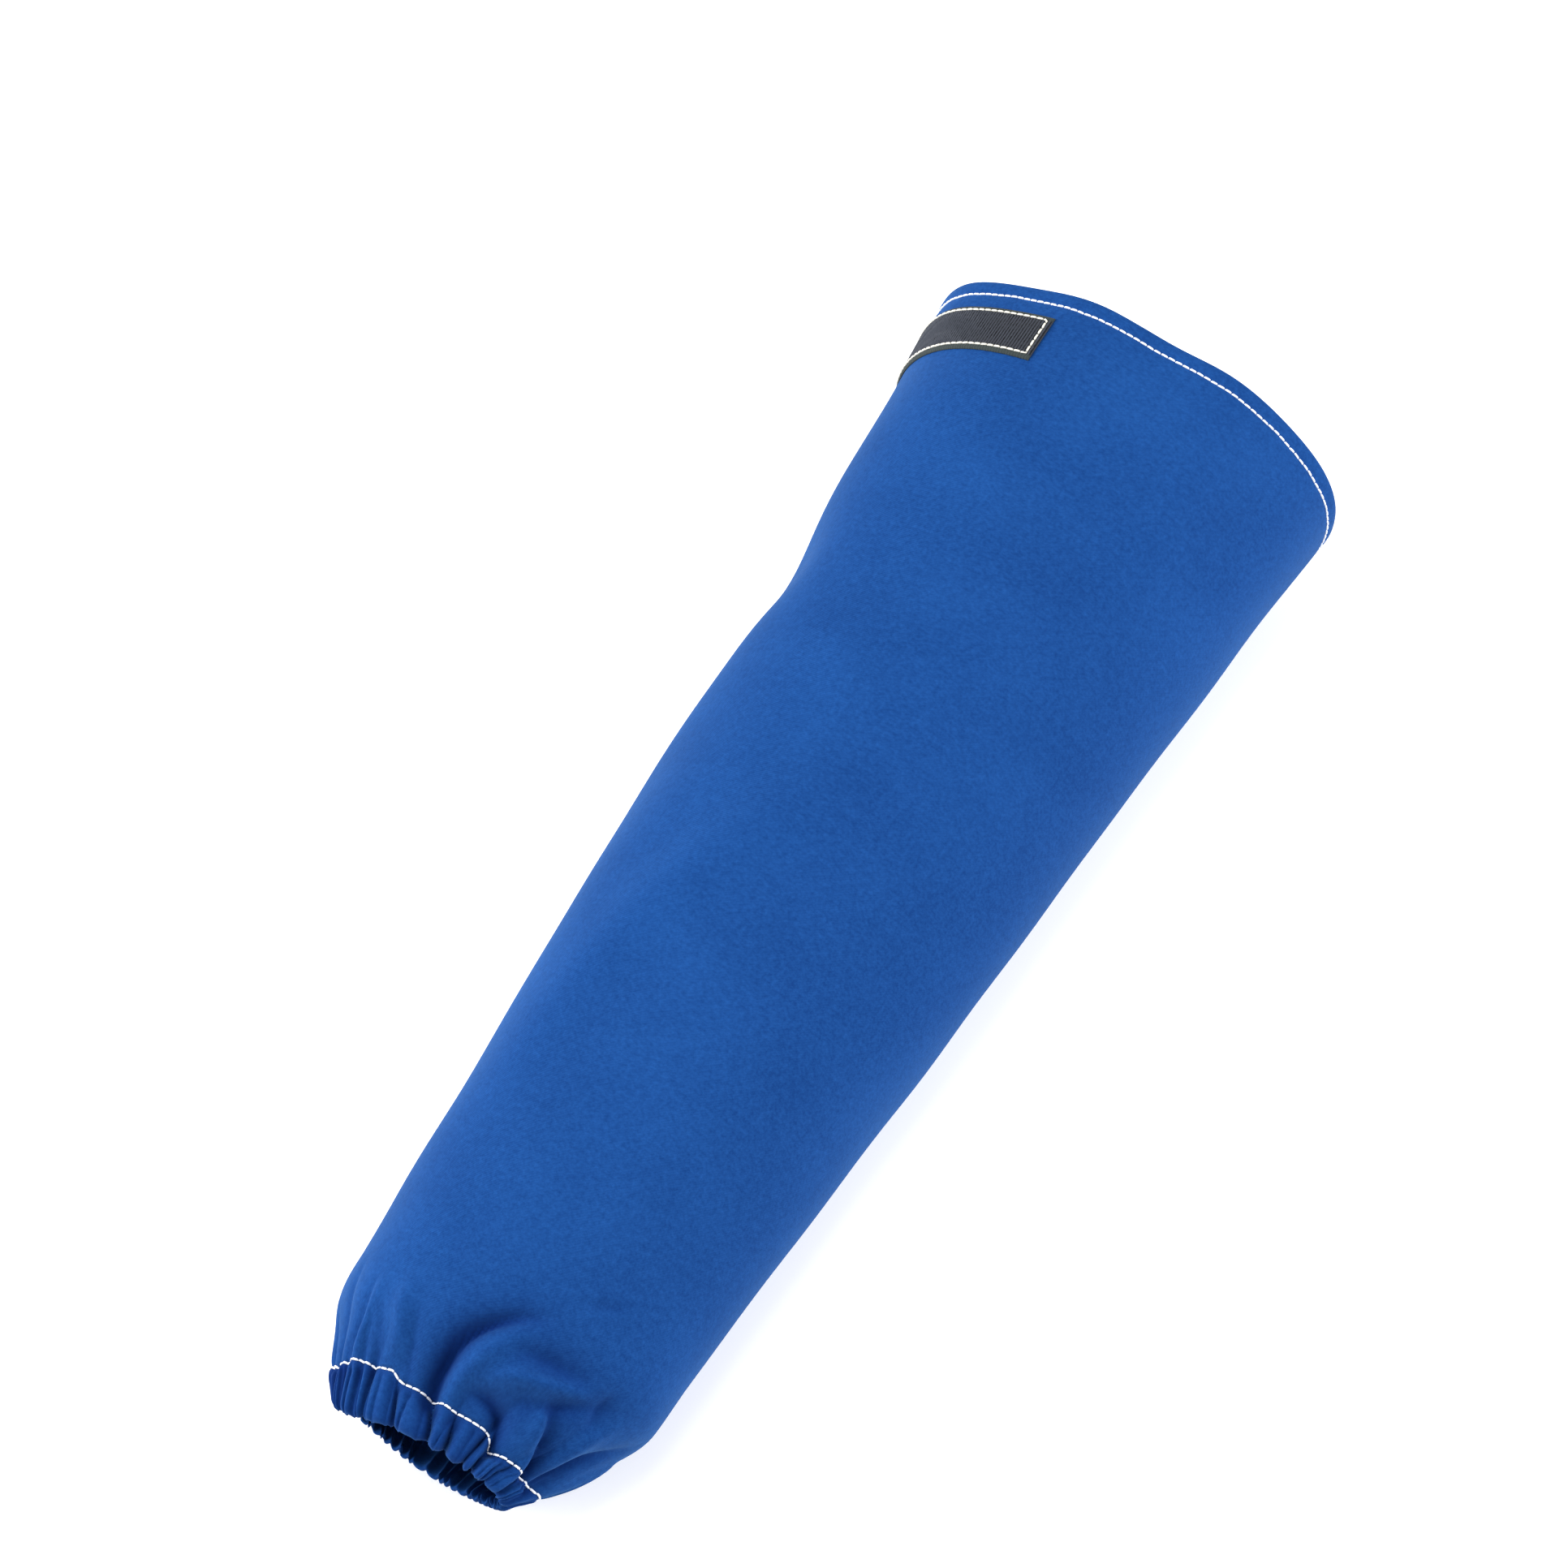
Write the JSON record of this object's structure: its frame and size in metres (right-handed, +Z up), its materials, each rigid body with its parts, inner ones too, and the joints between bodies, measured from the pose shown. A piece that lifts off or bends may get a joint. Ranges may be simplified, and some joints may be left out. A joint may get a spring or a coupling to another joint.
{
  "type": "welding sleeve",
  "caption": "Tapered protective cloth sleeve for welding, with an elastic gathered wrist, a stitched upper hem and a hook-and-loop strap.",
  "frame": {"origin": "on the surface the sleeve lies on, under the middle of its outer box", "axes": "+Y along the sleeve from the wrist to the upper opening, +X to the wearer-side right as it lies, +Z up"},
  "size_m": [0.1646, 0.46, 0.1085],
  "materials": {
    "cloth": "matt blue flame-resistant cotton twill",
    "loop_tape": "black woven loop tape with fine cross ribs",
    "hook_tape": "charcoal moulded nylon hook tape"
  },
  "bodies": {
    "root": {"sleeve_tube": "cloth", "upper_hem": "cloth", "wrist_casing": "cloth", "loop_strip": "loop_tape", "hook_tab": "hook_tape"}
  },
  "joints": []
}
